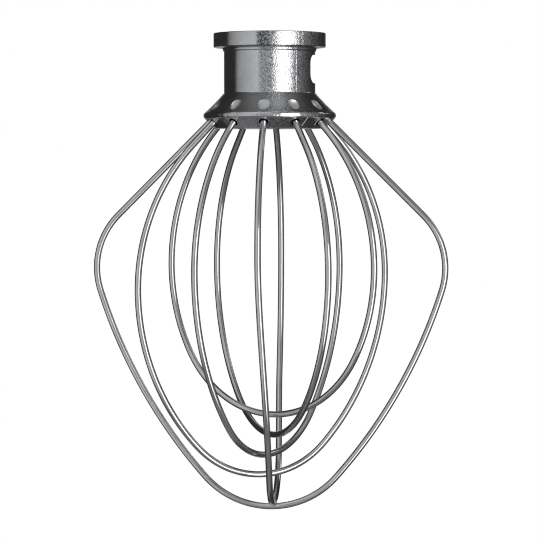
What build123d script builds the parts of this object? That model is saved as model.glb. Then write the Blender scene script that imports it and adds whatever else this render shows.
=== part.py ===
from build123d import *
import math
import os

# Stand mixer wire whisk: a cast hub with six spring-wire loops staked into its lower cone.
# Millimetres. The origin is the centre of the hub's top face, where the drive shaft enters, and +Z is up.
# Depths are measured down from that face. Turns are counted from +X towards +Y, in degrees.

# Hub body, one casting
flange_radius = 19.3
flange_thickness = 4.9
flange_edge_radius = 0.3
collar_radius = 16.1
collar_depth = 6.0
collar_root_radius = 0.9
neck_radius = 15.7
neck_depth = 20.5
cone_root_radius = 0.4
rim_radius = 23.45
rim_edge_radius = 1.4
cone_angle = 45.0
foot_radius = 19.0
foot_edge_radius = 0.4

# Drive bore, with the bayonet slot that locks on the shaft's cross pin
shaft_diameter = 12.7
shaft_clearance = 0.1
bore_depth = 27.0
slot_top_depth = 7.35
slot_height = 9.95
slot_lock_turn = -21.6
slot_sweep = 68.0
slot_corner_radius = 3.2
keyway_width = 5.5
keyway_reach = 12.0

# Wire, and the blind holes that hold its ends
wire_diameter = 2.2
hole_clearance = 0.05
hole_circle_radius = 21.0
hole_depth = 11.0
hole_flare = 0.45
wire_end_gap = 0.05

# Stake marks, pressed into the upper cone by an oval punch with a domed end that comes in lower than square
stake_circle_radius = 19.55
stake_depth = 1.05
stake_width = 3.9
stake_length = 5.0
stake_tilt = 17.0
stake_end_radius = 7.0

# Wide loop, with straight arms, a shoulder and a gently bowed side
wide_reach = 60.4
wide_shoulder_radius = 25.7
wide_shoulder_turn = 17.5
wide_lowest_depth = 163.4
wide_meet_angle = 41.4

# Cross loop, which lies on the wide loop where the two pass under the axis
cross_reach = 41.0
cross_straight = 3.5
cross_sway = -5.0
cross_rest_gap = 0.25
cross_meet_angle = 30.0

# The cross loop is also sprung out of its plane, most at this height up its first (+) or second (-) side
cross_bow = -1.9
cross_bow_middle = -21.0

# Four balloon loops, numbered from the shallowest to the deepest
balloon_reach_1 = 43.0
balloon_straight_1 = 3.5
balloon_meet_1 = 30.0
balloon_reach_2 = 46.6
balloon_straight_2 = 11.5
balloon_meet_2 = 45.0
balloon_reach_3 = 42.9
balloon_straight_3 = 2.5
balloon_meet_3 = 39.0
balloon_sway_3 = -1.2
balloon_reach_4 = 46.65
balloon_straight_4 = 7.4
balloon_meet_4 = 44.0
balloon_lean_4 = -2.2
balloon_sway_4 = -0.4
balloon_nest_height = 11.3
balloon_nest_step = 6.9

loop_count = 6
cut_margin = 1.0

# Worked-out sizes
cone_sin = math.sin(math.radians(cone_angle))
cone_cos = math.cos(math.radians(cone_angle))
cone_slope = cone_sin / cone_cos
bore_radius = shaft_diameter / 2 + shaft_clearance
wire_radius = wire_diameter / 2
hole_radius = wire_radius + hole_clearance
rim_depth = neck_depth + (rim_radius - neck_radius) / cone_slope
foot_depth = rim_depth + (rim_radius - foot_radius) * cone_slope
exit_depth = rim_depth + (rim_radius - hole_circle_radius) * cone_slope
wire_insert = hole_depth - wire_end_gap
hole_turns = [180.0 / loop_count * step for step in range(2 * loop_count)]


def place(radius, depth):
    return Vector(radius, 0, -depth)


# Hub

def hub_body():
    flange_top = place(flange_radius, 0)
    flange_under = place(flange_radius, flange_thickness)
    collar_root = place(collar_radius, flange_thickness)
    collar_edge = place(collar_radius, collar_depth)
    neck_top = place(neck_radius, collar_depth + collar_radius - neck_radius)
    cone_root = place(neck_radius, neck_depth)
    rim = place(rim_radius, rim_depth)
    foot = place(foot_radius, foot_depth)
    outline = [
        place(0, 0), flange_top, flange_under, collar_root, collar_edge, neck_top,
        cone_root, rim, foot, place(0, foot_depth),
    ]
    section = make_face(Polyline(*outline, close=True))
    rounded_corners = [
        (flange_top, flange_edge_radius),
        (flange_under, flange_edge_radius),
        (collar_root, collar_root_radius),
        (cone_root, cone_root_radius),
        (rim, rim_edge_radius),
        (foot, foot_edge_radius),
    ]
    for corner, radius in rounded_corners:
        section = fillet(section.vertices().sort_by_distance(corner)[0], radius)
    return revolve(section, Axis.Z)


def drive_bore():
    return Pos(0, 0, cut_margin) * Cylinder(
        bore_radius, bore_depth + cut_margin, align=(Align.CENTER, Align.CENTER, Align.MAX)
    )


def bayonet_slot():
    inner = bore_radius - cut_margin
    outer = neck_radius + cut_margin
    floor_depth = slot_top_depth + slot_height
    corners = [
        place(inner, slot_top_depth),
        place(outer, slot_top_depth),
        place(outer, floor_depth),
        place(inner, floor_depth),
    ]
    window = revolve(make_face(Polyline(*corners, close=True)), Axis.Z, slot_sweep)
    window = fillet(window.edges().filter_by(Axis.X), slot_corner_radius)
    keyway_lean = math.degrees(math.asin(keyway_width / 2 / keyway_reach))
    keyway = Pos(0, 0, -floor_depth) * Box(
        keyway_reach, keyway_width, floor_depth + cut_margin,
        align=(Align.MIN, Align.CENTER, Align.MIN),
    )
    return Rot(Z=slot_lock_turn) * window + Rot(Z=slot_lock_turn + slot_sweep - keyway_lean) * keyway


def wire_hole():
    mouth = Plane(place(hole_circle_radius, exit_depth), z_dir=(-cone_sin, 0, cone_cos))
    from_mouth = (Align.CENTER, Align.CENTER, Align.MIN)
    drill = Cylinder(hole_radius, hole_depth + cut_margin, align=from_mouth)
    flare_length = hole_flare + cut_margin
    flare = Cone(hole_radius + flare_length, hole_radius, flare_length, align=from_mouth)
    return mouth * Pos(0, 0, -cut_margin) * (drill + flare)


def stake_punch():
    seat_depth = neck_depth + (stake_circle_radius - neck_radius) / cone_slope
    face = place(stake_circle_radius - stake_depth * cone_cos, seat_depth + stake_depth * cone_sin)
    rise = math.radians(90 - cone_angle - stake_tilt)
    outward = Plane(face, x_dir=(0, 1, 0), z_dir=(math.cos(rise), 0, math.sin(rise)))
    shank = extrude(outward * Ellipse(stake_width / 2, stake_length / 2), stake_length)
    end = outward * Pos(0, 0, stake_end_radius) * Sphere(stake_end_radius)
    return shank & end


def make_hub():
    cutters = [drive_bore(), bayonet_slot()]
    for turn in hole_turns:
        cutters.append(Rot(Z=turn) * wire_hole())
        cutters.append(Rot(Z=turn) * stake_punch())
    return hub_body() - cutters


# Wire loops

def arm_bends(side, reach, upper_radius, lowest_depth, meet_angle, shoulder_turn=0.0, lean=0.0, sway=0.0):
    # The three bends of one side of a loop, as centre, radius, start and end: an upper bend past
    # the widest point, then a side bend and a bottom bend that meet in tangent at the meet angle
    widest = reach + side * lean
    lowest = side * (lean + sway)
    run = straight_run(widest, upper_radius)
    upper_depth = exit_depth + run * cone_cos + upper_radius * cone_sin
    upper_centre = place(widest - upper_radius, upper_depth)

    past = math.radians(shoulder_turn)
    meet = math.radians(meet_angle)
    shoulder = upper_centre + upper_radius * Vector(math.cos(past), 0, -math.sin(past))
    width = shoulder.X - lowest
    drop = shoulder.Z + lowest_depth
    across = math.cos(past) - math.cos(meet)
    down = math.sin(meet) - math.sin(past)
    scale = across * (1 - math.sin(meet)) - down * math.cos(meet)
    side_radius = (width * (1 - math.sin(meet)) - drop * math.cos(meet)) / scale
    bottom_radius = (drop * across - width * down) / scale
    side_centre = shoulder - side_radius * Vector(math.cos(past), 0, -math.sin(past))
    bottom_centre = place(lowest, lowest_depth - bottom_radius)
    return [
        (upper_centre, upper_radius, -cone_angle, shoulder_turn),
        (side_centre, side_radius, shoulder_turn, meet_angle),
        (bottom_centre, bottom_radius, meet_angle, 90.0),
    ]


def straight_run(widest, upper_radius):
    return (widest - hole_circle_radius - upper_radius * (1 - cone_cos)) / cone_sin


def round_upper_radius(reach, straight):
    return (reach - hole_circle_radius - straight * cone_sin) / (1 - cone_cos)


def arc_edge(side, centre, radius, start, end):
    points = []
    for angle in (start, (start + end) / 2, end):
        turn = math.radians(angle)
        point = centre + radius * Vector(math.cos(turn), 0, -math.sin(turn))
        points.append((side * point.X, 0, point.Z))
    return ThreePointArc(*points)


def arm_edges(side, **shape):
    bends = arm_bends(side, **shape)
    seat = place(hole_circle_radius, exit_depth) - wire_insert * Vector(cone_sin, 0, -cone_cos)
    arcs = [arc_edge(side, *numbers) for numbers in bends]
    run = Line((side * seat.X, 0, seat.Z), arcs[0] @ 0)
    return [run] + arcs


def sprung_edges(bow, bow_middle, **shape):
    # The runs and upper bends stay in the loop's plane, and one smooth curve under them leaves it
    first = arm_edges(1, **shape)
    second = arm_edges(-1, **shape)
    bottom = (first[3] @ 1).Z
    half = (first[2] @ 0).Z - bottom - abs(bow_middle)
    points = []
    for bend, shares in ((first[2], (0, 1 / 3, 2 / 3)), (first[3], (0, 1 / 4, 1 / 2, 3 / 4, 1)),
                         (second[3], (3 / 4, 1 / 2, 1 / 4, 0)), (second[2], (2 / 3, 1 / 3, 0))):
        for share in shares:
            point = bend @ share
            height = point.Z - bottom if bend in first else bottom - point.Z
            off = (height - bow_middle) / half
            points.append((point.X, bow * max(1 - off**2, 0) ** 2, point.Z))
    sprung = Spline(*points, tangents=((0, 0, -1), (0, 0, 1)))
    return first[:2] + [sprung] + second[:2]


def make_loop(step, bow=0.0, bow_middle=0.0, **shape):
    if bow:
        path = Wire(sprung_edges(bow, bow_middle, **shape))
    else:
        path = Wire(arm_edges(1, **shape) + arm_edges(-1, **shape))
    section = Plane(path @ 0, z_dir=path % 0) * Circle(wire_radius)
    return Rot(Z=hole_turns[step]) * sweep(section, path=path)


def wide_shape():
    return dict(
        reach=wide_reach,
        upper_radius=wide_shoulder_radius,
        lowest_depth=wide_lowest_depth,
        meet_angle=wide_meet_angle,
        shoulder_turn=wide_shoulder_turn,
    )


def cross_shape():
    # The lowest point is swayed to one side, so the wire rises a little before it crosses the axis
    shape = dict(
        reach=cross_reach,
        upper_radius=round_upper_radius(cross_reach, cross_straight),
        lowest_depth=wide_lowest_depth - wire_diameter - cross_rest_gap,
        meet_angle=cross_meet_angle,
        sway=cross_sway,
    )
    side = -math.copysign(1, cross_sway)
    bottom_radius = arm_bends(side, **shape)[-1][1]
    rise = bottom_radius - math.sqrt(bottom_radius**2 - cross_sway**2)
    shape["lowest_depth"] += rise
    return shape


def balloon_shape(nest, reach, straight, meet, lean=0.0, sway=0.0):
    return dict(
        reach=reach,
        upper_radius=round_upper_radius(reach, straight),
        lowest_depth=wide_lowest_depth - balloon_nest_height - nest * balloon_nest_step,
        meet_angle=meet,
        lean=lean,
        sway=sway,
    )


# Whole whisk

nodes = {
    "hub": make_hub(),
    "wide_wire": make_loop(0, **wide_shape()),
    "cross_wire": make_loop(3, cross_bow, cross_bow_middle, **cross_shape()),
    "balloon_wire_1": make_loop(
        5, **balloon_shape(3, balloon_reach_1, balloon_straight_1, balloon_meet_1)
    ),
    "balloon_wire_2": make_loop(
        4, **balloon_shape(2, balloon_reach_2, balloon_straight_2, balloon_meet_2)
    ),
    "balloon_wire_3": make_loop(
        2, **balloon_shape(1, balloon_reach_3, balloon_straight_3, balloon_meet_3, sway=balloon_sway_3)
    ),
    "balloon_wire_4": make_loop(
        1,
        **balloon_shape(
            0, balloon_reach_4, balloon_straight_4, balloon_meet_4, balloon_lean_4, balloon_sway_4
        ),
    ),
}

os.makedirs("parts", exist_ok=True)
for name, solid in nodes.items():
    solid.label = name
    export_step(solid, f"parts/{name}.step")
    print(name, round(solid.volume, 1), solid.is_valid)
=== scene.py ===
import math

import bmesh
import bpy
from mathutils import Matrix, Vector


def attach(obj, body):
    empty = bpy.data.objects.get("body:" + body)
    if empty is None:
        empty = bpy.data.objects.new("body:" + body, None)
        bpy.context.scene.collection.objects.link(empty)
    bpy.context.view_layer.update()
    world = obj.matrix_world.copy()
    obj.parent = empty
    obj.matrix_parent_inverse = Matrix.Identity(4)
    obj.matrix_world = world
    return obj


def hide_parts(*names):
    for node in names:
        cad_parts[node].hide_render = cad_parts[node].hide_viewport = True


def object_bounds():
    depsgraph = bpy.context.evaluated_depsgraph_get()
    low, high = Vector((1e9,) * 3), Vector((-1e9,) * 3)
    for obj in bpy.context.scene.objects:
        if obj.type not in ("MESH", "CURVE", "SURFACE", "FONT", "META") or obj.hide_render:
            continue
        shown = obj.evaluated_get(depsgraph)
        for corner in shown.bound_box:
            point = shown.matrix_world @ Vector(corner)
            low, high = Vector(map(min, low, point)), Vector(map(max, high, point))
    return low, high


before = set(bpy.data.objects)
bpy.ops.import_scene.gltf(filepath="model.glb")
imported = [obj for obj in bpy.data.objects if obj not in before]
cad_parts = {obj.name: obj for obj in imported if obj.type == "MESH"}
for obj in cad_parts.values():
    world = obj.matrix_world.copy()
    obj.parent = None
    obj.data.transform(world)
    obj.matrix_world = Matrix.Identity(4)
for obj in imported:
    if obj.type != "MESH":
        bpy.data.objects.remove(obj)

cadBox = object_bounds()
mm = 0.001  # the dictionaries below hold millimetres and degrees, the scene metres
weldGap = 1e-7  # metres within which points count as one
scene = bpy.context.scene


# small helpers

def hexColour(code):
    parts = [int(code[i:i + 2], 16) / 255 for i in (1, 3, 5)]
    linear = [c / 12.92 if c <= 0.04045 else ((c + 0.055) / 1.055) ** 2.4 for c in parts]
    return (*linear, 1.0)


def addNode(tree, kind, settings=None, **inputs):
    # inputs are values or output sockets, keyed by name with spaces as underscores, or by place as in0, in1
    node = tree.nodes.new(kind)
    settings = dict(settings or {})
    stops = settings.pop("stops", ())
    for key, value in settings.items():
        setattr(node, key, value)
    for k, (position, colour) in enumerate(stops):
        points = node.color_ramp.elements
        point = points[k] if k < len(points) else points.new(position)
        point.position, point.color = position, colour
    for key, value in inputs.items():
        name = key.replace("_", " ")
        if key[2:].isdigit():
            socket = node.inputs[int(key[2:])]
        else:
            socket = [s for s in node.inputs if s.name == name and s.enabled][0]
        if isinstance(value, bpy.types.NodeSocket):
            tree.links.new(value, socket)
        else:
            socket.default_value = value
    return node


def newObject(name, data):
    obj = bpy.data.objects.new(name, data)
    scene.collection.objects.link(obj)
    return obj


def meshObject(name, shape):
    mesh = bpy.data.meshes.new(name)
    shape.to_mesh(mesh)
    shape.free()
    return newObject(name, mesh)


def newMaterial(name):
    material = bpy.data.materials.new(name)
    material.use_nodes = True
    return material, material.node_tree, material.node_tree.nodes["Principled BSDF"]


def newGeometryTree(name, sizes):
    # sizes maps an input's name to its socket type
    tree = bpy.data.node_groups.new(name, "GeometryNodeTree")
    tree.interface.new_socket(name="Geometry", in_out="INPUT", socket_type="NodeSocketGeometry")
    for key, kind in sizes.items():
        tree.interface.new_socket(name=key, in_out="INPUT", socket_type=kind)
    tree.interface.new_socket(name="Geometry", in_out="OUTPUT", socket_type="NodeSocketGeometry")
    return tree, tree.nodes.new("NodeGroupInput"), tree.nodes.new("NodeGroupOutput")


def runTree(obj, tree, values, name):
    # evaluates the tree on obj and leaves a plain mesh object in its place
    modifier = obj.modifiers.new(tree.name, "NODES")
    modifier.node_group = tree
    for item in tree.interface.items_tree:
        if item.in_out == "INPUT" and item.name in values:
            modifier[item.identifier] = values[item.name]
    depsgraph = bpy.context.evaluated_depsgraph_get()
    mesh = bpy.data.meshes.new_from_object(obj.evaluated_get(depsgraph), depsgraph=depsgraph)
    mesh.name = name
    obj.modifiers.remove(modifier)
    bpy.data.objects.remove(obj)
    return newObject(name, mesh)


# hub

hub = {
    "flangeRadius": 19.3, "flangeThickness": 4.9, "flangeEdge": 0.3,
    "collarRadius": 16.1, "collarDepth": 6.0, "collarRoot": 0.9, "collarEdge": 0.12,
    "neckRadius": 15.7, "neckDepth": 20.5, "coneRoot": 0.4, "coneHollow": 0.2, "hollowRadius": 75.0,
    "rimRadius": 23.45, "rimEdge": 1.4, "footRadius": 19.0, "footEdge": 0.4,
    "boreRadius": 6.45, "boreDepth": 27.0, "boreFlare": 0.5,
    "slotTop": 7.35, "slotHeight": 9.95, "slotLockTurn": -21.6, "slotSweep": 68.0, "slotCorner": 3.2,
    "keywayWidth": 5.5, "keywayReach": 12.0,
    "holeCircle": 21.0, "holeDepth": 11.0, "holeGap": 0.05, "holeFlare": 0.45,
    "stakeCircle": 19.55, "stakeDepth": 1.05, "stakeWidth": 3.9, "stakeLength": 5.0, "stakeTilt": 17.0,
    "stakeEnd": 7.0,
    "partingTurns": (-48.3, 131.7), "partingHeight": 0.03, "partingWidth": 0.4,
    # how finely it is meshed, how far cutters stand out, and the angle from which edges look sharp
    "grid": 0.55, "arcStep": 0.12, "leastArcSteps": 4, "segments": 288, "partingSteps": 4, "partingRoom": 1.3,
    "boreSegments": 96, "slotSteps": 64, "slotCrowding": 1.6, "drillSides": 40, "punchSides": 56,
    "punchRings": 7, "cutMargin": 1.0, "slotMargin": 1.5, "sharpFrom": 28,
}

fall = 45  # degrees at which arms and cones all lie
slope = math.sqrt(0.5)  # its sine and cosine
rimDepth = hub["neckDepth"] + hub["rimRadius"] - hub["neckRadius"]
footDepth = rimDepth + hub["rimRadius"] - hub["footRadius"]
exitDepth = rimDepth + hub["rimRadius"] - hub["holeCircle"]
partingHalf = hub["partingWidth"] / 2 / hub["flangeRadius"]  # half the flash line's width, as an angle


def roundedOutline(corners, grid):
    # corners are (radius, z, edge radius); gives closely spaced points with their outward normals
    points = []
    for i, (x, z, edge) in enumerate(corners):
        here = Vector((x, z))
        if edge == 0:
            points.append(here)
            continue
        before = (Vector(corners[i - 1][:2]) - here).normalized()
        after = (Vector(corners[i + 1][:2]) - here).normalized()
        half = before.angle(after) / 2
        centre = here + (before + after).normalized() * edge / math.sin(half)
        start = here + before * edge / math.tan(half) - centre
        end = here + after * edge / math.tan(half) - centre
        turn = start.angle_signed(end)
        steps = max(hub["leastArcSteps"], round(abs(turn) * edge / hub["arcStep"]))
        for k in range(steps + 1):
            points.append(centre + Matrix.Rotation(-turn * k / steps, 2) @ start)
    dense = [points[0]]
    for a, b in zip(points, points[1:]):
        steps = max(1, round((b - a).length / grid))
        dense += [a.lerp(b, k / steps) for k in range(1, steps + 1)]
    normals = []
    for i, p in enumerate(dense):
        run = (dense[min(i + 1, len(dense) - 1)] - dense[max(i - 1, 0)]).normalized()
        normals.append(Vector((-run.y, run.x)))
    return dense, normals


def spinMesh(name, outline, turns, lift):
    # turns the outline about the axis; lift(turn) pushes each meridian out along its normal
    points, normals = outline
    shape = bmesh.new()
    rings = []
    for turn in turns:
        c, s = math.cos(turn), math.sin(turn)
        out = lift(turn)
        ring = []
        for p, n in zip(points, normals):
            r = p.x + max(n.x, 0) * out
            z = p.y + min(n.y, 0) * out
            ring.append(shape.verts.new((r * c * mm, r * s * mm, z * mm)))
        rings.append(ring)
    for a, b in zip(rings, rings[1:] + rings[:1]):
        for k in range(len(points) - 1):
            shape.faces.new((a[k], a[k + 1], b[k + 1], b[k]))
    bmesh.ops.remove_doubles(shape, verts=shape.verts, dist=weldGap)
    bmesh.ops.recalc_face_normals(shape, faces=shape.faces)
    return meshObject(name, shape)


def hubOutline():
    h = hub
    half = (h["rimRadius"] - h["neckRadius"]) / 2  # the upper cone is very slightly hollow at its middle
    corners = [
        (0, 0, 0),
        (h["flangeRadius"], 0, h["flangeEdge"]),
        (h["flangeRadius"], -h["flangeThickness"], h["flangeEdge"]),
        (h["collarRadius"], -h["flangeThickness"], h["collarRoot"]),
        (h["collarRadius"], -h["collarDepth"], h["collarEdge"]),
        (h["neckRadius"], -h["collarDepth"] - h["collarRadius"] + h["neckRadius"], h["collarEdge"]),
        (h["neckRadius"], -h["neckDepth"], h["coneRoot"]),
        (h["neckRadius"] + half - h["coneHollow"], -h["neckDepth"] - half - h["coneHollow"],
         h["hollowRadius"]),
        (h["rimRadius"], -rimDepth, h["rimEdge"]),
        (h["footRadius"], -footDepth, h["footEdge"]),
        (0, -footDepth, 0),
    ]
    return roundedOutline(corners, h["grid"])


def turnBetween(a, b):
    return abs((a - b + math.pi) % (2 * math.pi) - math.pi)


def partingLift(turn):
    # a thin flash line stands proud where the two die halves met
    for degrees in hub["partingTurns"]:
        off = turnBetween(turn, math.radians(degrees))
        if off < partingHalf:
            return hub["partingHeight"] * math.cos(off / partingHalf * math.pi / 2) ** 2
    return 0.0


def hubTurns():
    # even steps round the hub, with closer ones across each flash line in place of those too near it
    turns = {2 * math.pi * k / hub["segments"] for k in range(hub["segments"])}
    steps = hub["partingSteps"]
    for degrees in hub["partingTurns"]:
        centre = math.radians(degrees) % (2 * math.pi)
        turns = {t for t in turns if turnBetween(t, centre) > partingHalf * hub["partingRoom"]}
        turns |= {centre + partingHalf * k / steps for k in range(-steps, steps + 1)}
    return sorted(turns)


def boreCutter():
    h = hub
    margin, count = h["cutMargin"], h["boreSegments"]
    corners = [
        (0, margin, 0),
        (h["boreRadius"] + h["boreFlare"] + margin, margin, 0),
        (h["boreRadius"], -h["boreFlare"], 0),
        (h["boreRadius"], -h["boreDepth"], 0),
        (0, -h["boreDepth"], 0),
    ]
    turns = [2 * math.pi * k / count for k in range(count)]
    oneStep = 2 * h["boreDepth"]  # each straight run is one long step
    return spinMesh("boreCutter", roundedOutline(corners, oneStep), turns, lambda turn: 0.0)


def slotCutter():
    # ring sector with a rounded locking end
    h = hub
    inner, outer = h["boreRadius"] - h["cutMargin"], h["neckRadius"] + h["slotMargin"]
    top, bottom, corner = -h["slotTop"], -h["slotTop"] - h["slotHeight"], h["slotCorner"]
    shape = bmesh.new()
    steps = h["slotSteps"]
    rings = []
    for k in range(steps + 1):
        along = (k / steps) ** h["slotCrowding"]  # closer rows near the rounded end
        turn = math.radians(h["slotLockTurn"] + h["slotSweep"] * along)
        ring = []
        for r in (inner, outer):
            run = r * math.radians(h["slotSweep"]) * along
            trim = corner - math.sqrt(max(corner ** 2 - (corner - run) ** 2, 0)) if run < corner else 0.0
            for z in (top - trim, bottom + trim):
                ring.append(shape.verts.new((r * math.cos(turn) * mm, r * math.sin(turn) * mm, z * mm)))
        rings.append(ring)
    order = (0, 2, 3, 1)
    for a, b in zip(rings, rings[1:]):
        for i in range(4):
            p, q = order[i], order[(i + 1) % 4]
            shape.faces.new((a[p], a[q], b[q], b[p]))
    for ring in (rings[0], rings[-1]):
        shape.faces.new([ring[i] for i in order])
    bmesh.ops.recalc_face_normals(shape, faces=shape.faces)
    return meshObject("slotCutter", shape)


def keywayCutter():
    # straight way from the top face down into the slot's other end
    h = hub
    lean = math.asin(h["keywayWidth"] / 2 / h["keywayReach"])
    turn = math.radians(h["slotLockTurn"] + h["slotSweep"]) - lean
    low, high = -h["slotTop"] - h["slotHeight"], h["cutMargin"]
    shape = bmesh.new()
    box = Matrix.Rotation(turn, 4, "Z") @ Matrix.Translation(
        Vector((h["keywayReach"] / 2, 0, (low + high) / 2)) * mm
    ) @ Matrix.Diagonal((h["keywayReach"] * mm, h["keywayWidth"] * mm, (high - low) * mm, 1))
    bmesh.ops.create_cube(shape, size=1.0, matrix=box)
    return meshObject("keywayCutter", shape)


def cutAway(obj, cutters):
    for cutter in cutters:
        modifier = obj.modifiers.new(cutter.name, "BOOLEAN")
        modifier.operation = "DIFFERENCE"
        modifier.solver = "EXACT"
        modifier.object = cutter
        depsgraph = bpy.context.evaluated_depsgraph_get()
        mesh = bpy.data.meshes.new_from_object(obj.evaluated_get(depsgraph), depsgraph=depsgraph)
        obj.modifiers.clear()
        obj.data = mesh
        bpy.data.objects.remove(cutter)


def drillShape(tree, size):
    # one wire hole with its flared mouth
    drill = addNode(tree, "GeometryNodeMeshCylinder", Vertices=hub["drillSides"], Radius=size["holeRadius"],
                    Depth=size["holeLength"])
    drillHere = addNode(tree, "GeometryNodeTransform", Geometry=drill.outputs["Mesh"],
                        Translation=size["holeMiddle"], Rotation=size["holeTilt"])
    flare = addNode(tree, "GeometryNodeMeshCone", Vertices=hub["drillSides"], Radius_Top=size["flareRadius"],
                    Radius_Bottom=size["holeRadius"], Depth=size["flareLength"])
    flareHere = addNode(tree, "GeometryNodeTransform", Geometry=flare.outputs["Mesh"],
                        Translation=size["flareStart"], Rotation=size["holeTilt"])
    bored = addNode(tree, "GeometryNodeJoinGeometry")
    for cutter in (drillHere, flareHere):
        tree.links.new(cutter.outputs["Geometry"], bored.inputs["Geometry"])
    # the hole's faces are marked, and the casting's material paints shade on them
    return addNode(tree, "GeometryNodeStoreNamedAttribute", {"data_type": "FLOAT", "domain": "FACE"},
                   Geometry=bored.outputs["Geometry"], Name="inHole", Value=1.0)


def punchShape(tree, size):
    # one oval stake mark; its inner end is domed: the rim stands back by the square of the radius
    punch = addNode(tree, "GeometryNodeMeshCylinder", {"fill_type": "TRIANGLE_FAN"}, Radius=1.0,
                    Vertices=hub["punchSides"], Fill_Segments=hub["punchRings"], Depth=size["stakeLength"])
    oval = addNode(tree, "GeometryNodeTransform", Geometry=punch.outputs["Mesh"], Scale=size["stakeShape"])
    spot = addNode(tree, "GeometryNodeInputPosition").outputs["Position"]
    flat = addNode(tree, "ShaderNodeVectorMath", {"operation": "MULTIPLY"}, in0=spot, in1=(1.0, 1.0, 0.0))
    square = addNode(tree, "ShaderNodeVectorMath", {"operation": "DOT_PRODUCT"}, in0=flat.outputs["Vector"],
                     in1=flat.outputs["Vector"])
    back = addNode(tree, "ShaderNodeMath", {"operation": "MULTIPLY"}, in0=square.outputs["Value"],
                   in1=size["stakeDome"])
    lift = addNode(tree, "ShaderNodeCombineXYZ", Z=back.outputs["Value"])
    height = addNode(tree, "ShaderNodeSeparateXYZ", Vector=spot).outputs["Z"]
    inner = addNode(tree, "FunctionNodeCompare", {"operation": "LESS_THAN"}, A=height, B=0.0)
    domed = addNode(tree, "GeometryNodeSetPosition", Geometry=oval.outputs["Geometry"],
                    Selection=inner.outputs["Result"], Offset=lift.outputs["Vector"])
    punchHere = addNode(tree, "GeometryNodeTransform", Geometry=domed.outputs["Geometry"],
                        Translation=size["stakeMiddle"], Rotation=size["stakeTilt"])
    return addNode(tree, "GeometryNodeStoreNamedAttribute", {"data_type": "FLOAT", "domain": "FACE"},
                   Geometry=punchHere.outputs["Geometry"], Name="inStake", Value=1.0)


def stakeTree():
    # cuts the ring of wire holes and the ring of stake marks above them
    tree, start, end = newGeometryTree("stakedHoles", {
        "count": "NodeSocketInt", "holeRadius": "NodeSocketFloat", "holeLength": "NodeSocketFloat",
        "holeMiddle": "NodeSocketVector", "holeTilt": "NodeSocketVector", "flareRadius": "NodeSocketFloat",
        "flareLength": "NodeSocketFloat", "flareStart": "NodeSocketVector", "stakeLength": "NodeSocketFloat",
        "stakeDome": "NodeSocketFloat", "stakeMiddle": "NodeSocketVector", "stakeShape": "NodeSocketVector",
        "stakeTilt": "NodeSocketVector", "finish": "NodeSocketMaterial",
    })
    size = start.outputs
    pair = addNode(tree, "GeometryNodeJoinGeometry")
    for cutter in (drillShape(tree, size), punchShape(tree, size)):
        tree.links.new(cutter.outputs["Geometry"], pair.inputs["Geometry"])
    points = addNode(tree, "GeometryNodePoints", Count=size["count"])
    index = addNode(tree, "GeometryNodeInputIndex").outputs["Index"]
    each = addNode(tree, "ShaderNodeMath", {"operation": "DIVIDE"}, in0=index, in1=size["count"])
    turn = addNode(tree, "ShaderNodeMath", {"operation": "MULTIPLY"}, in0=each.outputs["Value"],
                   in1=2 * math.pi)
    spin = addNode(tree, "ShaderNodeCombineXYZ", Z=turn.outputs["Value"])
    ring = addNode(tree, "GeometryNodeInstanceOnPoints", Points=points.outputs["Points"],
                   Instance=pair.outputs["Geometry"], Rotation=spin.outputs["Vector"])
    solid = addNode(tree, "GeometryNodeRealizeInstances", Geometry=ring.outputs["Instances"])
    cut = addNode(tree, "GeometryNodeMeshBoolean", {"operation": "DIFFERENCE", "solver": "EXACT"},
                  Mesh_1=start.outputs["Geometry"])
    tree.links.new(solid.outputs["Geometry"], cut.inputs["Mesh 2"])
    whole = addNode(tree, "GeometryNodeRealizeInstances", Geometry=cut.outputs["Mesh"])
    coat = addNode(tree, "GeometryNodeSetMaterial", Geometry=whole.outputs["Geometry"],
                   Material=size["finish"])
    tree.links.new(coat.outputs["Geometry"], end.inputs["Geometry"])
    return tree


def makeHub(finish):
    h = hub
    body = spinMesh("hubBlank", hubOutline(), hubTurns(), partingLift)
    cutAway(body, [boreCutter(), slotCutter(), keywayCutter()])
    margin = h["cutMargin"]
    back = (h["holeDepth"] - margin) / 2
    inset = h["holeFlare"] * slope
    stakeZ = -(h["neckDepth"] + h["stakeCircle"] - h["neckRadius"])
    rise = math.radians(fall - h["stakeTilt"])
    inward = Vector((-slope, 0, -slope)) * h["stakeDepth"]
    outward = Vector((math.cos(rise), 0, math.sin(rise))) * h["stakeLength"] / 2
    values = {
        "count": 2 * len(loops),
        "holeRadius": (wire["diameter"] / 2 + h["holeGap"]) * mm,
        "holeLength": (h["holeDepth"] + margin) * mm,
        "holeMiddle": (Vector((h["holeCircle"] - back * slope, 0, -exitDepth + back * slope)) * mm)[:],
        "holeTilt": (0.0, math.radians(90 + fall), 0.0),
        "flareRadius": (wire["diameter"] / 2 + h["holeGap"] + h["holeFlare"] + margin) * mm,
        "flareLength": (h["holeFlare"] + margin) * mm,
        "flareStart": (Vector((h["holeCircle"] - inset, 0, -exitDepth + inset)) * mm)[:],
        "stakeLength": h["stakeLength"] * mm,
        "stakeDome": 0.5 / (h["stakeEnd"] * mm),  # a parabola as round as the punch's end
        "stakeMiddle": ((Vector((h["stakeCircle"], 0, stakeZ)) + inward + outward) * mm)[:],
        "stakeShape": (h["stakeLength"] / 2 * mm, h["stakeWidth"] / 2 * mm, 1.0),
        "stakeTilt": (0.0, math.pi / 2 - rise, 0.0),
        "finish": finish,
    }
    piece = runTree(body, stakeTree(), values, "castHub")
    piece.data.shade_smooth()
    piece.data.set_sharp_from_angle(angle=math.radians(h["sharpFrom"]))
    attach(piece, "root")
    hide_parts("hub")
    print("hub:", len(piece.data.polygons), "faces")
    return piece


# wire loops: each is a straight run, an upper bend, a side bend and a bottom bend on either side

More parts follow.
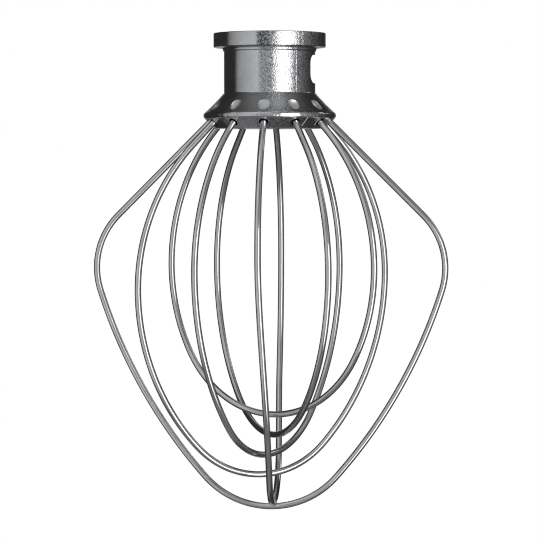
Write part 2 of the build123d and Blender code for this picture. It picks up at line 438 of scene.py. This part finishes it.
wire = {
    "diameter": 2.2, "insert": 10.95,
    # how finely it is meshed, and the angle from which edges look sharp
    "ringPoints": 20, "step": 1.2, "leastSteps": 6, "seatSteps": 12, "closest": 0.05, "sharpFrom": 50,
}
loops = {
    "wide_wire": {"turn": 0, "reach": 60.4, "shoulderRadius": 25.7, "shoulderTurn": 17.5, "lowest": 163.4,
                  "meet": 41.4},
    "balloon_wire_4": {"turn": 30, "reach": 46.65, "straight": 7.4, "lowest": 152.1, "meet": 44, "lean": -2.2,
                       "sway": -0.4},
    "balloon_wire_3": {"turn": 60, "reach": 42.9, "straight": 2.5, "lowest": 145.2, "meet": 39, "sway": -1.2},
    "cross_wire": {"turn": 90, "reach": 41.0, "straight": 3.5, "rests": 160.95, "meet": 30, "sway": -5.0,
                   "bow": -1.9, "bowMiddle": -21.0},
    "balloon_wire_2": {"turn": 120, "reach": 46.6, "straight": 11.5, "lowest": 138.3, "meet": 45},
    "balloon_wire_1": {"turn": 150, "reach": 43.0, "straight": 3.5, "lowest": 131.4, "meet": 30},
}


def armBends(side, loop, lowest):
    # centre, radius, start and end of each bend, with angles measured down from the horizontal
    reach, lean = loop["reach"], loop.get("lean", 0.0)
    radius = loop.get("shoulderRadius")
    if radius is None:
        radius = (reach - hub["holeCircle"] - loop["straight"] * slope) / (1 - slope)
    widest = reach + side * lean
    foot = side * (lean + loop.get("sway", 0.0))
    run = (widest - hub["holeCircle"] - radius * (1 - slope)) / slope
    upper = Vector((widest - radius, -exitDepth - (run + radius) * slope))
    past, meet = math.radians(loop.get("shoulderTurn", 0.0)), math.radians(loop["meet"])
    edge = Vector((math.cos(past), -math.sin(past)))
    shoulder = upper + radius * edge
    width, drop = shoulder.x - foot, shoulder.y + lowest
    across, down = math.cos(past) - math.cos(meet), math.sin(meet) - math.sin(past)
    scale = across * (1 - math.sin(meet)) - down * math.cos(meet)
    sideRadius = (width * (1 - math.sin(meet)) - drop * math.cos(meet)) / scale
    bottomRadius = (drop * across - width * down) / scale
    return [
        (upper, radius, -math.radians(fall), past),
        (shoulder - sideRadius * edge, sideRadius, past, meet),
        (Vector((foot, bottomRadius - lowest)), bottomRadius, meet, math.pi / 2),
    ]


def armPoints(side, loop, lowest):
    # from the end seated in the hub down to the lowest point
    seat = Vector((hub["holeCircle"], -exitDepth)) - wire["insert"] * Vector((slope, -slope))
    points = [seat]
    for centre, radius, start, end in armBends(side, loop, lowest):
        steps = max(wire["leastSteps"], round(radius * (end - start) / wire["step"]))
        for k in range(steps + 1):
            angle = start + (end - start) * k / steps
            points.append(centre + radius * Vector((math.cos(angle), -math.sin(angle))))
    kept = [points[0]]
    for p in points[1:]:
        if (p - kept[-1]).length > wire["closest"]:
            kept.append(p)
    straight = [kept[0].lerp(kept[1], k / wire["seatSteps"]) for k in range(wire["seatSteps"])]
    return [Vector((side * p.x, p.y)) for p in straight + kept[1:]]


def sideBow(loop, p, lowest, side):
    # how far the loop is sprung out of its own plane, which it leaves only below its widest points
    if "bow" not in loop:
        return 0.0
    shoulder = lowest + armBends(side, loop, lowest)[1][0].y
    half = shoulder - abs(loop["bowMiddle"])
    off = (side * (lowest + p.y) - loop["bowMiddle"]) / half
    return loop["bow"] * max(1 - off ** 2, 0) ** 2


def loopPath(name):
    loop = loops[name]
    lowest = loop.get("lowest")
    if lowest is None:  # lowered until it rests on the wire it crosses
        radius = armBends(-math.copysign(1, loop["sway"]), loop, loop["rests"])[-1][1]
        lowest = loop["rests"] + radius - math.sqrt(radius ** 2 - loop["sway"] ** 2)
    right, left = armPoints(1, loop, lowest), armPoints(-1, loop, lowest)
    turn = Matrix.Rotation(math.radians(loop["turn"]), 3, "Z")
    path = []
    for side, arm in ((1, right), (-1, left[-2::-1])):
        for p in arm:
            path.append(turn @ Vector((p.x, sideBow(loop, p, lowest, side), p.y)) * mm)
    return path


def wireTree():
    tree, start, end = newGeometryTree("drawnWire", {
        "wireRadius": "NodeSocketFloat", "ringPoints": "NodeSocketInt", "finish": "NodeSocketMaterial",
    })
    size = start.outputs
    ring = addNode(tree, "GeometryNodeCurvePrimitiveCircle", Resolution=size["ringPoints"],
                   Radius=size["wireRadius"])
    # lengths in mm along the wire and around it, for the draw lines
    spline = addNode(tree, "GeometryNodeSplineParameter").outputs["Length"]
    length = addNode(tree, "ShaderNodeMath", {"operation": "DIVIDE"}, in0=spline, in1=mm).outputs["Value"]
    store = {"data_type": "FLOAT", "domain": "POINT"}
    path = addNode(tree, "GeometryNodeStoreNamedAttribute", store, Geometry=size["Geometry"],
                   Name="alongWire", Value=length)
    girth = addNode(tree, "GeometryNodeStoreNamedAttribute", store, Geometry=ring.outputs["Curve"],
                    Name="aroundWire", Value=length)
    tube = addNode(tree, "GeometryNodeCurveToMesh", Curve=path.outputs["Geometry"],
                   Profile_Curve=girth.outputs["Geometry"], Fill_Caps=True)
    whole = addNode(tree, "GeometryNodeRealizeInstances", Geometry=tube.outputs["Mesh"])
    coat = addNode(tree, "GeometryNodeSetMaterial", Geometry=whole.outputs["Geometry"],
                   Material=size["finish"])
    tree.links.new(coat.outputs["Geometry"], end.inputs["Geometry"])
    return tree


def makeWires(finish):
    tree = wireTree()
    values = {"wireRadius": wire["diameter"] / 2 * mm, "ringPoints": wire["ringPoints"], "finish": finish}
    pieces = []
    for name in loops:
        points = loopPath(name)
        curve = bpy.data.curves.new(name + "Path", "CURVE")
        curve.dimensions = "3D"
        spline = curve.splines.new("POLY")
        spline.points.add(len(points) - 1)
        for slot, p in zip(spline.points, points):
            slot.co = (*p, 1.0)
        piece = runTree(newObject(name + "Path", curve), tree, values, name + "Loop")
        piece.data.shade_smooth()
        piece.data.set_sharp_from_angle(angle=math.radians(wire["sharpFrom"]))
        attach(piece, "root")
        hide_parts(name)
        print(name + ":", len(piece.data.polygons), "faces")
        pieces.append(piece)
    return pieces


# materials

castLook = {
    # the darkest two colours are painted shade, on the flange's edge and in the wire holes; the last is bare
    # metal, also used for a painted highlight
    "deep": "#bbbcbe", "bright": "#cacbcd", "pit": "#76777a", "reflectionShadePit": "#303031", "holeShade": "#2c2b29",
    "bareAndGlint": "#d9d9d7",
    # width and detail of each noise; grain and specks are as coarse as the photo shows them, and real ones
    # may be finer
    "noises": {"grain": (0.45, 2.0), "speck": (0.5, 2.0), "cloud": (6.0, 2.0), "peel": (2.4, 1.0)},
    "speckSpan": (0.35, 0.65), "cloudSpan": (0.3, 0.7),
    # the coarse skin's share is full on the half that faces this turn, and less on the other half and on the
    # upper cone
    "coarseTurn": -7.0, "borderHalf": 0.6, "smoothSkin": 0.14, "coneSkin": 0.35, "coneDepths": (20.7, 29.4),
    # grain heights where pits start and where they are darkest, for all pits and for the darker ones painted
    # as shade where a dark reflection falls, then that painted shade's share by turn
    "pits": (0.52, 0.36), "reflectionShadePits": (0.64, 0.46),
    "paintedReflection": ((-97.2, 0.0), (-96.0, 1.0), (-90.0, 0.85), (-84.0, 0.4), (-76.0, 0.0)),
    # each line goes from one turn and depth to another: the first is a scratch, the second a painted
    # highlight beside a wire hole's mouth
    "scratchAndGlintHalf": 0.25, "scratchAndGlint": (((-49.6, 29.2), (-50.8, 31.9)), ((-35.8, 30.2), (-34.6, 31.7))),
    "glossiest": 0.12, "roughest": (0.16, 0.32), "stakeRough": 0.34,
    "grainRelief": (0.12, 0.8), "grainDepth": 0.11,
    "knockRelief": (0.04, 0.8), "knockDepth": 0.3, "knockRadii": (20.6, 22.2),
}


def coarseSkin(tree, place):
    # one side is tumbled smooth and the other keeps a coarse cast skin, though less of it from the upper cone
    # to the rim
    look = castLook
    across = math.radians(look["coarseTurn"])
    side = addNode(tree, "ShaderNodeVectorMath", {"operation": "DOT_PRODUCT"}, in0=place,
                   in1=(math.cos(across), math.sin(across), 0.0))
    height = addNode(tree, "ShaderNodeSeparateXYZ", Vector=place).outputs["Z"]
    top, bottom = look["coneDepths"]
    onCone = addNode(tree, "ShaderNodeMath", {"operation": "COMPARE"}, in0=height,
                     in1=-(top + bottom) / 2 * mm, in2=(bottom - top) / 2 * mm)
    cast = addNode(tree, "ShaderNodeMapRange", Value=onCone.outputs["Value"], To_Min=1.0,
                   To_Max=look["coneSkin"])
    border = look["borderHalf"] * mm
    skin = addNode(tree, "ShaderNodeMapRange", Value=side.outputs["Value"], From_Min=-border, From_Max=border,
                   To_Min=look["smoothSkin"], To_Max=cast.outputs["Result"])
    return skin.outputs["Result"]


def paintedReflectionPatch(tree, place, fromAxis):
    # painted shade: the darkest pits are painted in a patch on the flange's edge where a dark reflection
    # falls; it starts sharply and fades out round the hub
    axes = addNode(tree, "ShaderNodeSeparateXYZ", Vector=place).outputs
    onEdge = addNode(tree, "ShaderNodeMath", {"operation": "COMPARE"}, in0=fromAxis,
                     in1=hub["flangeRadius"] * mm, in2=hub["flangeEdge"] * mm)
    onFlange = addNode(tree, "ShaderNodeMath", {"operation": "GREATER_THAN"}, in0=axes["Z"],
                       in1=-hub["flangeThickness"] * mm)
    edge = addNode(tree, "ShaderNodeMath", {"operation": "MULTIPLY"}, in0=onEdge.outputs["Value"],
                   in1=onFlange.outputs["Value"])
    bearing = addNode(tree, "ShaderNodeMath", {"operation": "ARCTAN2"}, in0=axes["Y"], in1=axes["X"])
    sweep = addNode(tree, "ShaderNodeMapRange", Value=bearing.outputs["Value"], From_Min=-math.pi,
                    From_Max=math.pi)
    stops = [((turn + 180) / 360, (v, v, v, 1.0)) for turn, v in castLook["paintedReflection"]]
    share = addNode(tree, "ShaderNodeValToRGB", {"stops": stops}, Fac=sweep.outputs["Result"])
    paintedReflection = addNode(tree, "ShaderNodeMath", {"operation": "MULTIPLY"}, in0=share.outputs["Color"],
                    in1=edge.outputs["Value"])
    return paintedReflection.outputs["Value"]


def paintScratchAndGlint(tree, place):
    # each line, the scratch and the painted highlight alike, runs straight down the lower cone and fades out
    # to its sides
    scratchAndGlintShare = 0.0
    for ends in castLook["scratchAndGlint"]:
        start, end = (Matrix.Rotation(math.radians(turn), 3, "Z") @ Vector(
            (hub["rimRadius"] + rimDepth - depth, 0, -depth)) * mm for turn, depth in ends)
        run = (end - start).normalized()
        reach = addNode(tree, "ShaderNodeVectorMath", {"operation": "SUBTRACT"}, in0=place, in1=start[:])
        along = addNode(tree, "ShaderNodeVectorMath", {"operation": "DOT_PRODUCT"},
                        in0=reach.outputs["Vector"], in1=run[:])
        within = addNode(tree, "ShaderNodeClamp", Value=along.outputs["Value"], Max=(end - start).length)
        nearest = addNode(tree, "ShaderNodeVectorMath", {"operation": "SCALE"}, in0=run[:],
                          Scale=within.outputs["Result"])
        gap = addNode(tree, "ShaderNodeVectorMath", {"operation": "DISTANCE"}, in0=reach.outputs["Vector"],
                      in1=nearest.outputs["Vector"])
        line = addNode(tree, "ShaderNodeMapRange", Value=gap.outputs["Value"],
                       From_Max=castLook["scratchAndGlintHalf"] * mm, To_Min=1.0, To_Max=0.0)
        scratchAndGlintShare = addNode(tree, "ShaderNodeMath", {"operation": "MAXIMUM"}, in0=line.outputs["Result"],
                            in1=scratchAndGlintShare).outputs["Value"]
    return scratchAndGlintShare


def dieCastAluminium():
    # grey pressure casting, tumbled bright: broad soft reflections that a fine cast grain breaks into sparkle
    look = castLook
    material, tree, shader = newMaterial("dieCastAluminium")
    place = addNode(tree, "ShaderNodeTexCoord").outputs["Object"]
    grain, speck, cloud, peel = (
        addNode(tree, "ShaderNodeTexNoise", Vector=place, Scale=1 / (width * mm),
                Detail=detail).outputs["Fac"] for width, detail in look["noises"].values())
    flat = addNode(tree, "ShaderNodeVectorMath", {"operation": "MULTIPLY"}, in0=place, in1=(1.0, 1.0, 0.0))
    fromAxis = addNode(tree, "ShaderNodeVectorMath", {"operation": "LENGTH"},
                       in0=flat.outputs["Vector"]).outputs["Value"]
    # faces of the wire holes, which get painted shade
    hole = addNode(tree, "ShaderNodeAttribute", {"attribute_name": "inHole"}).outputs["Fac"]
    stake = addNode(tree, "ShaderNodeAttribute", {"attribute_name": "inStake"}).outputs["Fac"]
    coarse = addNode(tree, "ShaderNodeMath", {"operation": "SUBTRACT", "use_clamp": True},
                     in0=coarseSkin(tree, place), in1=stake).outputs["Value"]  # punched marks are smooth
    # a scratch, and a painted highlight beside one wire hole
    scratchAndGlintShare = paintScratchAndGlint(tree, place)
    # colour: soft clouds, pits in the coarse skin, darker pits painted as shade where a dark reflection falls
    # on the flange's edge, painted shade in the wire holes, and bare metal, which scatters the light, in a
    # scratch and in a painted highlight beside one wire hole
    low, high = look["cloudSpan"]
    tone = addNode(tree, "ShaderNodeValToRGB", {"stops": (
        (low, hexColour(look["deep"])), (high, hexColour(look["bright"])))}, Fac=cloud)
    shallow, deep = look["pits"]
    pits = addNode(tree, "ShaderNodeMapRange", Value=grain, From_Min=shallow, From_Max=deep, To_Max=coarse)
    # darker pits painted as shade where a dark reflection falls on the flange's edge
    shallow, deep = look["reflectionShadePits"]
    reflectionShadePits = addNode(tree, "ShaderNodeMapRange", Value=grain, From_Min=shallow, From_Max=deep,
                       To_Max=paintedReflectionPatch(tree, place, fromAxis))
    colour = tone.outputs["Color"]
    for share, key in ((pits.outputs["Result"], "pit"), (reflectionShadePits.outputs["Result"], "reflectionShadePit"),
                       (hole, "holeShade"), (scratchAndGlintShare, "bareAndGlint")):
        colour = addNode(tree, "ShaderNodeMix", {"data_type": "RGBA"}, Factor=share, A=colour,
                         B=hexColour(look[key])).outputs["Result"]
    mirror = addNode(tree, "ShaderNodeMath", {"operation": "SUBTRACT"}, in0=1.0, in1=scratchAndGlintShare)
    # roughness in specks, most in the coarse skin
    least, most = look["roughest"]
    roughest = addNode(tree, "ShaderNodeMapRange", Value=coarse, To_Min=least, To_Max=most)
    low, high = look["speckSpan"]
    rough = addNode(tree, "ShaderNodeMapRange", Value=speck, From_Min=low, From_Max=high,
                    To_Min=look["glossiest"], To_Max=roughest.outputs["Result"])
    punched = addNode(tree, "ShaderNodeMapRange", Value=stake, To_Min=rough.outputs["Result"],
                      To_Max=look["stakeRough"])
    # relief: cast grain, and small knocks along the rim, which is worn most
    least, most = look["grainRelief"]
    relief = addNode(tree, "ShaderNodeMapRange", Value=coarse, To_Min=least, To_Max=most)
    fine = addNode(tree, "ShaderNodeBump", Strength=relief.outputs["Result"],
                   Distance=look["grainDepth"] * mm, Height=grain)
    least, most = look["knockRelief"]
    inside, outside = look["knockRadii"]
    knocks = addNode(tree, "ShaderNodeMapRange", Value=fromAxis, From_Min=inside * mm, From_Max=outside * mm,
                     To_Min=least, To_Max=most)
    wave = addNode(tree, "ShaderNodeBump", Strength=knocks.outputs["Result"],
                   Distance=look["knockDepth"] * mm, Height=peel, Normal=fine.outputs["Normal"])
    tree.links.new(mirror.outputs["Value"], shader.inputs["Metallic"])
    tree.links.new(colour, shader.inputs["Base Color"])
    tree.links.new(punched.outputs["Result"], shader.inputs["Roughness"])
    tree.links.new(wave.outputs["Normal"], shader.inputs["Normal"])
    return material


wireLook = {
    # the lines' width and length are coarser than real draw lines, so that they show
    "deep": "#b4b5b7", "bright": "#dcdddf", "lineWidth": 0.25, "lineRun": 9.0, "lineDetail": 2.0,
    "toneSpan": (0.3, 0.62), "roughSpan": (0.3, 0.7), "roughness": (0.08, 0.2),
    "lineRelief": 0.06, "lineDepth": 0.02,
}


def drawnStainless():
    # bright drawn spring wire: clean reflections, broken a little by lengthwise draw lines
    look = wireLook
    material, tree, shader = newMaterial("drawnStainlessWire")
    along = addNode(tree, "ShaderNodeAttribute", {"attribute_name": "alongWire"})
    around = addNode(tree, "ShaderNodeAttribute", {"attribute_name": "aroundWire"})
    place = addNode(tree, "ShaderNodeCombineXYZ", X=along.outputs["Fac"], Y=around.outputs["Fac"])
    stretch = addNode(tree, "ShaderNodeMapping", Vector=place.outputs["Vector"],
                      Scale=(1 / look["lineRun"], 1 / look["lineWidth"], 1.0))
    lines = addNode(tree, "ShaderNodeTexNoise", Vector=stretch.outputs["Vector"], Scale=1.0,
                    Detail=look["lineDetail"]).outputs["Fac"]
    low, high = look["toneSpan"]
    tone = addNode(tree, "ShaderNodeValToRGB", {"stops": (
        (low, hexColour(look["deep"])), (high, hexColour(look["bright"])))}, Fac=lines)
    low, high = look["roughSpan"]
    least, most = look["roughness"]
    rough = addNode(tree, "ShaderNodeMapRange", Value=lines, From_Min=low, From_Max=high, To_Min=least,
                    To_Max=most)
    bump = addNode(tree, "ShaderNodeBump", Strength=look["lineRelief"], Distance=look["lineDepth"] * mm,
                   Height=lines)
    shader.inputs["Metallic"].default_value = 1.0
    tree.links.new(tone.outputs["Color"], shader.inputs["Base Color"])
    tree.links.new(rough.outputs["Result"], shader.inputs["Roughness"])
    tree.links.new(bump.outputs["Normal"], shader.inputs["Normal"])
    return material


# studio: camera, softboxes, pale floor and backdrop

camera = {"distance": 857.7, "elevation": 2.48, "turn": 5.7, "aim": (0.03, 0.0, -81.45), "roll": -0.08,
          "focalPixels": 2484.6, "imagePixels": 540, "sensorWidth": 36.0, "nearest": 10.0, "filterWidth": 1.1}
rightKey = {
    "azimuth": (19, 51.5),
    "onHub": {"distance": 1100.0, "elevation": (-40, 33), "radiance": 4.0},
    "onWires": {"distance": 400.0, "elevation": (-42.5, 15), "radiance": 1.8},
}
# the rest of the studio: radiance by degrees right of the camera, times a share by degrees above the horizon
fullHeight = ((-47, 0.0), (-31, 1.0), (60, 1.0), (76, 0.0))
surround = {
    "room": {"round": ((-180, 0.036), (180, 0.036)), "height": ((-90, 1.0), (90, 1.0))},
    "leftWall": {"round": ((-95, 0.0), (-91, 0.28), (-84, 0.38), (-74, 0.47), (-63, 0.55), (-52, 0.62),
                           (-40, 0.69), (-27, 0.74), (-24, 0.0)), "height": fullHeight},
    "cameraSide": {"round": ((-26, 0.0), (-24, 0.7), (8, 0.7), (16, 0.0)),
                   "height": ((-47, 0.0), (-31, 0.6), (24, 0.6), (32, 0.9), (52, 0.75), (70, 0.7),
                              (86, 0.5))},
    "rightWall": {"round": ((8, 0.0), (16, 0.45), (46, 0.5), (52, 0.0)),
                  "height": ((-47, 0.0), (-31, 1.0), (10, 1.0), (26, 0.3), (60, 0.25), (76, 0.0))},
    "farRight": {"round": ((46, 0.0), (52, 0.42), (64, 0.31), (77, 0.25), (90, 0.14), (110, 0.05),
                           (128, 0.01), (140, 0.0)), "height": fullHeight},
    "floor": {"round": ((-150, 0.05), (-135, 0.18), (55, 0.18), (90, 0.08), (125, 0.02)),
              "height": ((-51, 1.0), (-41, 0.0))},
    "ceiling": {"round": ((-150, 0.12), (-110, 0.3), (-70, 0.32), (0, 0.45), (40, 0.65), (80, 0.65),
                          (95, 0.5), (115, 0.22), (150, 0.06)),
                "height": ((42, 0.0), (55, 0.22), (70, 0.5), (80, 0.9), (86, 1.0))},
    "backStrip": {"round": ((-168, 0.3), (-164, 0.0), (164, 0.0), (168, 0.3)),
                  "height": ((-50, 0.0), (-40, 1.0), (60, 1.0), (70, 0.0))},
    "rearKicker": {"round": ((110, 0.0), (113, 1.5), (125, 1.5), (128, 0.0)),
                   "height": ((16, 0.0), (20, 1.0), (36, 1.0), (40, 0.0))},
}


def fromCamera(azimuth, elevation):
    a, e = math.radians(azimuth + camera["turn"]), math.radians(elevation)
    return Vector((math.sin(a) * math.cos(e), -math.cos(a) * math.cos(e), math.sin(e)))


def makeCamera():
    data = bpy.data.cameras.new("photoCamera")
    data.sensor_width = camera["sensorWidth"]
    data.lens = camera["focalPixels"] / camera["imagePixels"] * data.sensor_width
    data.clip_start = camera["nearest"] * mm
    obj = newObject("photoCamera", data)
    aim = Vector(camera["aim"]) * mm
    obj.location = aim + fromCamera(0, camera["elevation"]) * camera["distance"] * mm
    level = (aim - obj.location).to_track_quat("-Z", "Y").to_matrix()
    obj.rotation_euler = (level @ Matrix.Rotation(math.radians(camera["roll"]), 3, "Z")).to_euler()
    scene.camera = obj
    scene.cycles.filter_width = camera["filterWidth"]  # keeps the thin wires crisp
    print("camera:", round(data.lens, 1), "mm lens")


def makeKey(receivers):
    # a tall upright softbox right of the camera; the thin wires have a nearer and dimmer one of their own,
    # because their highlights stay low and fine
    left, right = rightKey["azimuth"]
    away = fromCamera((left + right) / 2, 0)
    for name, pieces in receivers.items():
        reach = rightKey[name]["distance"] * mm
        low, high = (reach * math.tan(math.radians(e)) for e in rightKey[name]["elevation"])
        lamp = bpy.data.lights.new(name, "AREA")
        lamp.shape = "RECTANGLE"
        lamp.size = 2 * reach * math.tan(math.radians((right - left) / 2))
        lamp.size_y = high - low
        lamp.energy = math.pi * lamp.size * lamp.size_y * rightKey[name]["radiance"]
        obj = newObject(name, lamp)
        obj.location = Vector(camera["aim"]) * mm + away * reach + Vector((0, 0, (low + high) / 2))
        obj.rotation_euler = (-away).to_track_quat("-Z", "Y").to_euler()
        obj.visible_camera = False
        lit = bpy.data.collections.new(name)
        for piece in pieces:
            lit.objects.link(piece)
        obj.light_linking.receiver_collection = lit
        print("key", name + ":", rightKey[name]["radiance"], "radiance on", len(pieces), "pieces")


def makeStage():
    # seen by the camera alone, so the metal keeps its dark edges
    room = {"white": "#ffffff", "floorGap": 0.2, "floorHalf": 4000.0, "domeRadius": 3500.0,
            "domeSegments": (48, 24)}
    material = bpy.data.materials.new("paleBackdropPaper")
    material.use_nodes = True
    tree = material.node_tree
    tree.nodes.clear()
    glow = addNode(tree, "ShaderNodeEmission", Color=hexColour(room["white"]), Strength=1.0)
    out = addNode(tree, "ShaderNodeOutputMaterial")
    tree.links.new(glow.outputs["Emission"], out.inputs["Surface"])
    floor = cadBox[0][2] - room["floorGap"] * mm
    shape = bmesh.new()
    bmesh.ops.create_grid(shape, x_segments=1, y_segments=1, size=room["floorHalf"] * mm,
                          matrix=Matrix.Translation((0, 0, floor)))
    ground = meshObject("paleFloor", shape)
    shape = bmesh.new()
    around, up = room["domeSegments"]
    bmesh.ops.create_uvsphere(shape, u_segments=around, v_segments=up, radius=room["domeRadius"] * mm)
    dome = meshObject("paleBackdrop", shape)
    for obj in (ground, dome):
        obj.data.materials.append(material)
        obj.visible_diffuse = False
        obj.visible_glossy = False
        obj.visible_transmission = False
        obj.visible_shadow = False
    print("stage:", ground.name, "and", dome.name)


def makeWorld():
    world = bpy.data.worlds.new("studioSurround")
    world.use_nodes = True
    tree = world.node_tree
    way = addNode(tree, "ShaderNodeTexCoord").outputs["Generated"]
    turned = addNode(tree, "ShaderNodeMapping", Vector=way, Rotation=(0, 0, -math.radians(camera["turn"])))
    axes = addNode(tree, "ShaderNodeSeparateXYZ", Vector=turned.outputs["Vector"]).outputs
    front = addNode(tree, "ShaderNodeMath", {"operation": "MULTIPLY"}, in0=axes["Y"], in1=-1.0)
    bearing = addNode(tree, "ShaderNodeMath", {"operation": "ARCTAN2"}, in0=axes["X"],
                      in1=front.outputs["Value"])
    rise = addNode(tree, "ShaderNodeMath", {"operation": "ARCSINE"}, in0=axes["Z"])
    sweeps = {}
    for key, angle, span in (("round", bearing, 180), ("height", rise, 90)):
        sweeps[key] = span, addNode(tree, "ShaderNodeMapRange", Value=angle.outputs["Value"],
                                    From_Min=-math.radians(span), From_Max=math.radians(span))
    total = None
    for panel in surround.values():
        shares = []
        for key, (span, sweep) in sweeps.items():
            stops = [((degrees + span) / (2 * span), (v, v, v, 1.0)) for degrees, v in panel[key]]
            shares.append(addNode(tree, "ShaderNodeValToRGB", {"stops": stops}, Fac=sweep.outputs["Result"]))
        glow = addNode(tree, "ShaderNodeMix", {"data_type": "RGBA", "blend_type": "MULTIPLY"}, Factor=1.0,
                       A=shares[0].outputs["Color"], B=shares[1].outputs["Color"])
        if total:
            glow = addNode(tree, "ShaderNodeMix", {"data_type": "RGBA", "blend_type": "ADD"}, Factor=1.0,
                           A=total.outputs["Result"], B=glow.outputs["Result"])
        total = glow
    tree.links.new(total.outputs["Result"], tree.nodes["Background"].inputs["Color"])
    scene.world = world
    scene.view_settings.view_transform = "Standard"
    scene.view_settings.look = "None"
    print("surround:", len(surround), "panels of light")


casting = makeHub(dieCastAluminium())
wires = makeWires(drawnStainless())
makeCamera()
makeKey({"onHub": [casting], "onWires": wires})
makeStage()
makeWorld()
